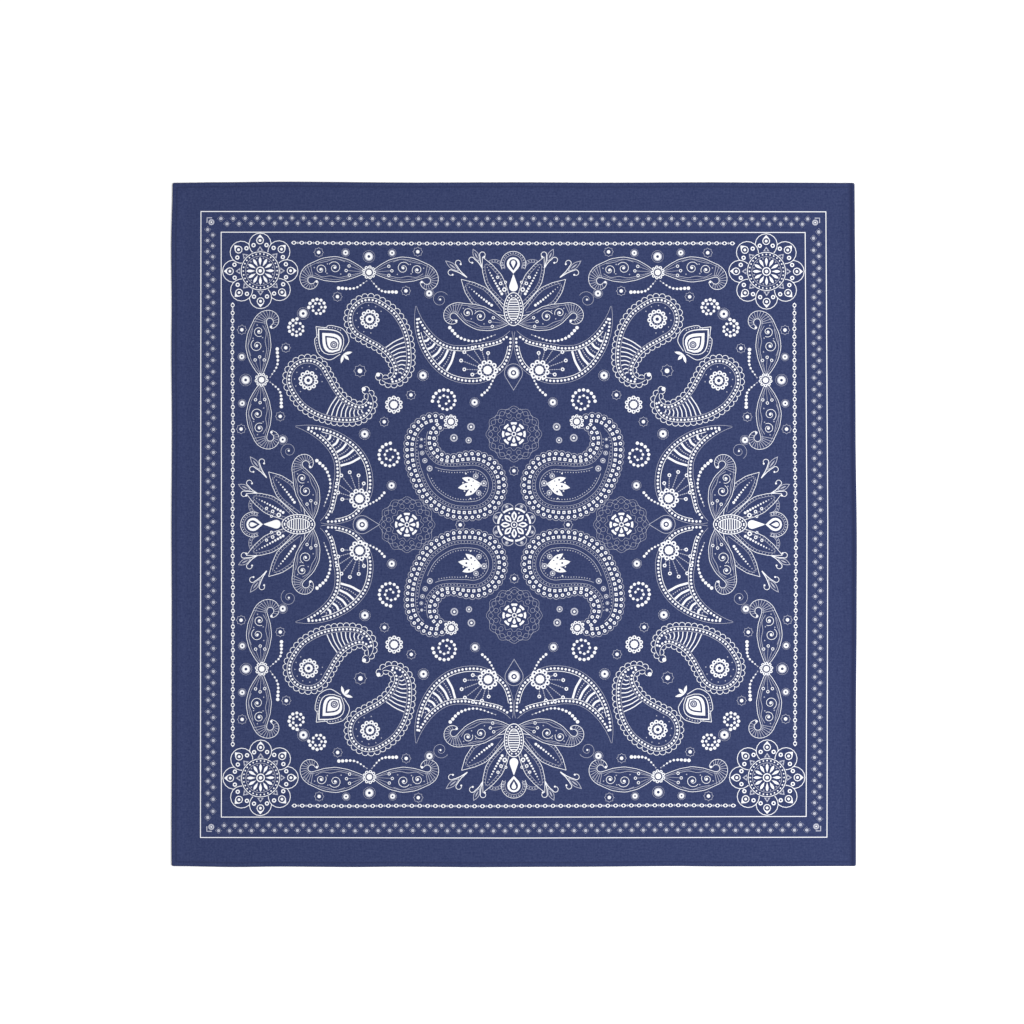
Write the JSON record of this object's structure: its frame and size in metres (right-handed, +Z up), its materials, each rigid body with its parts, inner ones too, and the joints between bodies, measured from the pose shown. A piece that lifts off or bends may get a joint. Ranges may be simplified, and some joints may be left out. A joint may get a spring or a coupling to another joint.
{
  "type": "bandana",
  "caption": "Square printed cotton bandana laid flat, with narrow turned and stitched hems.",
  "frame": {"origin": "on the surface the bandana lies on, under the middle of the square", "axes": "+Z up from the surface, through the printed face; +Y towards the top edge, +X towards the right edge"},
  "size_m": [0.5602, 0.56, 0.0023],
  "materials": {
    "printed_cotton": "matt plain-weave cotton, navy ground with a white print",
    "turned_hem": "matt plain-weave cotton, navy, lockstitched"
  },
  "bodies": {
    "root": {"panel": "printed_cotton", "hem_top": "turned_hem", "hem_bottom": "turned_hem", "hem_left": "turned_hem", "hem_right": "turned_hem"}
  },
  "joints": []
}
